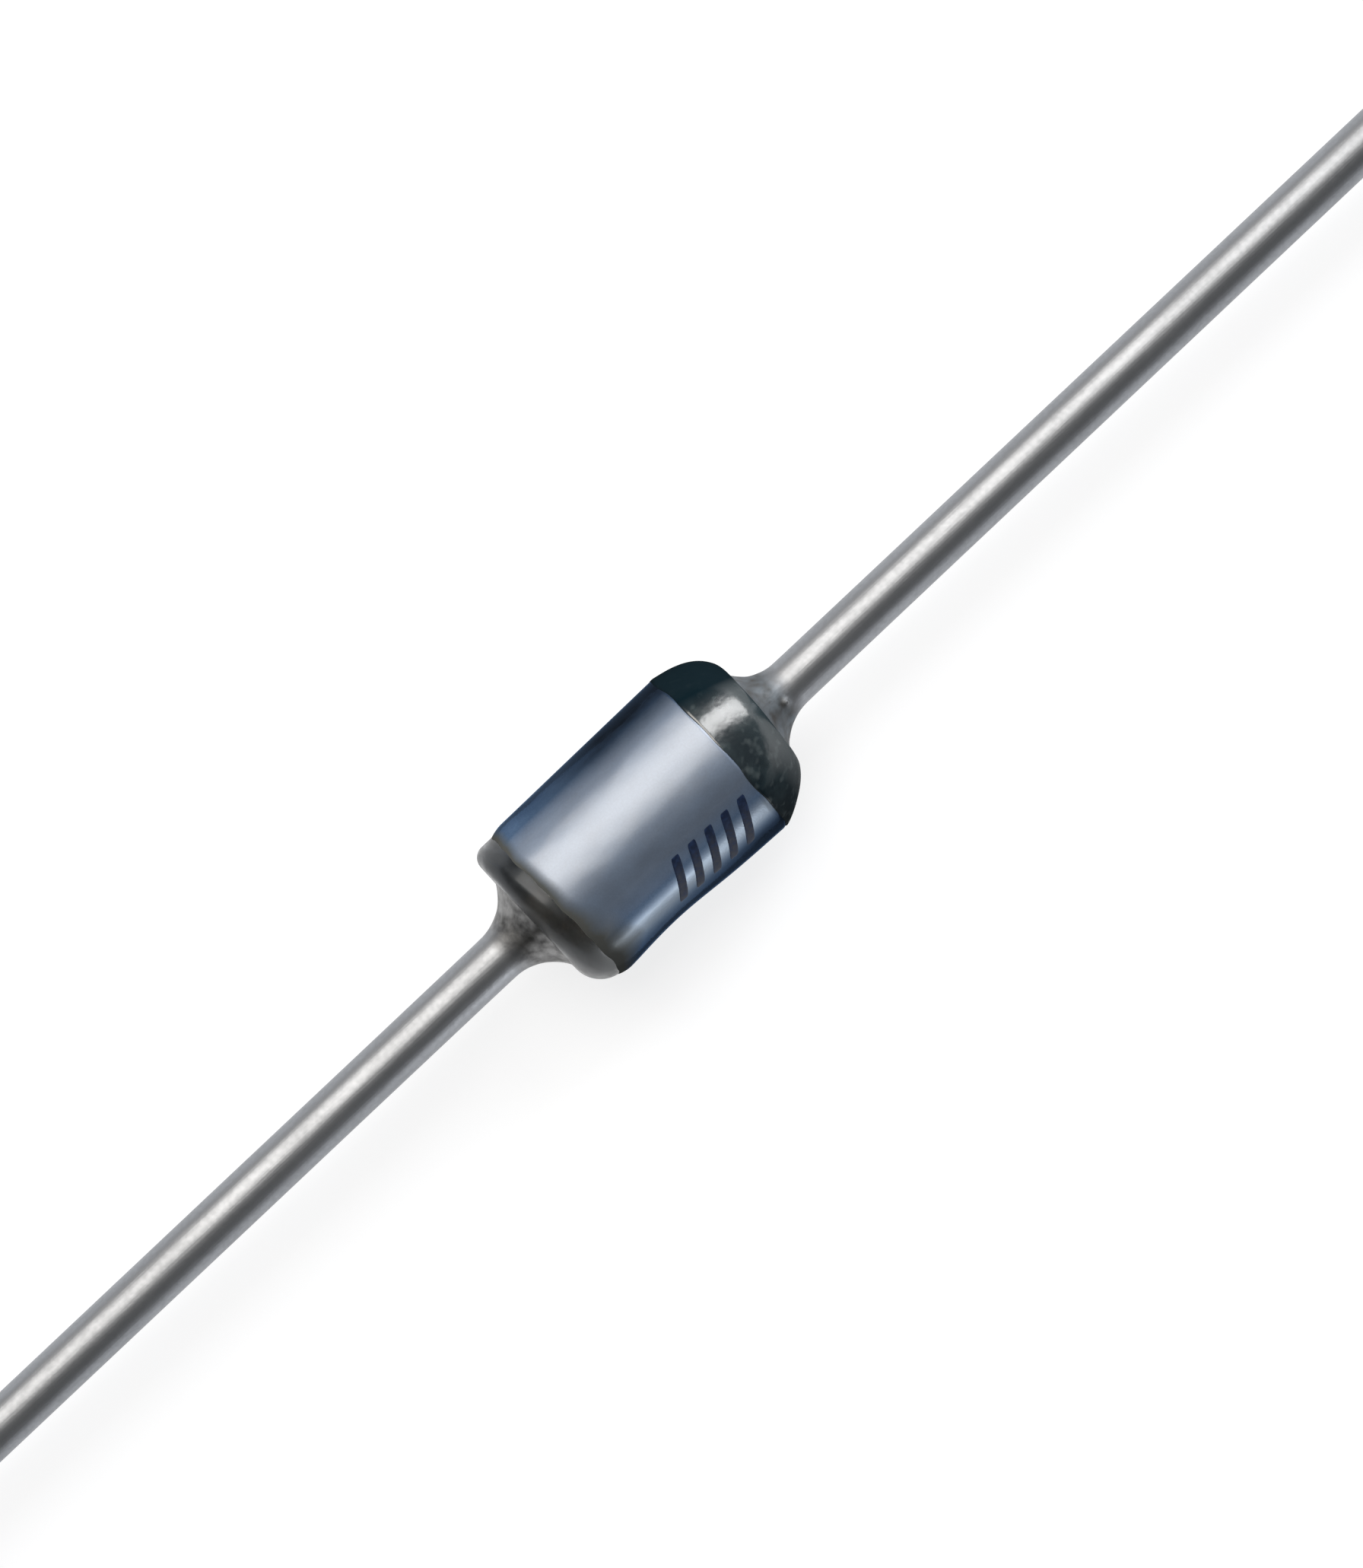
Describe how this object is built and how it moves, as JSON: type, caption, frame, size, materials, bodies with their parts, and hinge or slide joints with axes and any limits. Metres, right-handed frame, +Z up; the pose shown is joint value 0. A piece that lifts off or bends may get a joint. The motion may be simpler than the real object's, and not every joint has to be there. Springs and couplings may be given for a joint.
{
  "type": "zener diode",
  "caption": "Axial glass zener diode with straight tinned wire leads, a blue-grey lacquered body and a black cathode band; it holds a circuit's voltage at a set level.",
  "frame": {"origin": "middle of the glass sleeve, on its axis", "axes": "+X along the axis towards the cathode lead, +Z up"},
  "size_m": [0.055, 0.002, 0.002],
  "materials": {
    "glass": "smooth grey glass",
    "lacquer": "satin metallic lacquer",
    "band_paint": "gloss black paint",
    "slug": "copper-clad, oxidised by the seal",
    "silicon": "polished silicon",
    "silver": "plated silver",
    "weld": "dull tin plate over a weld",
    "tinned_wire": "bright tin plate"
  },
  "bodies": {
    "root": {"glass_sleeve": "glass", "body_lacquer": "lacquer", "cathode_band": "band_paint", "anode_slug": "slug", "cathode_slug": "slug", "zener_die": "silicon", "contact_bump": "silver", "anode_weld_bead": "weld", "cathode_weld_bead": "weld", "anode_lead": "tinned_wire", "cathode_lead": "tinned_wire"}
  },
  "joints": []
}
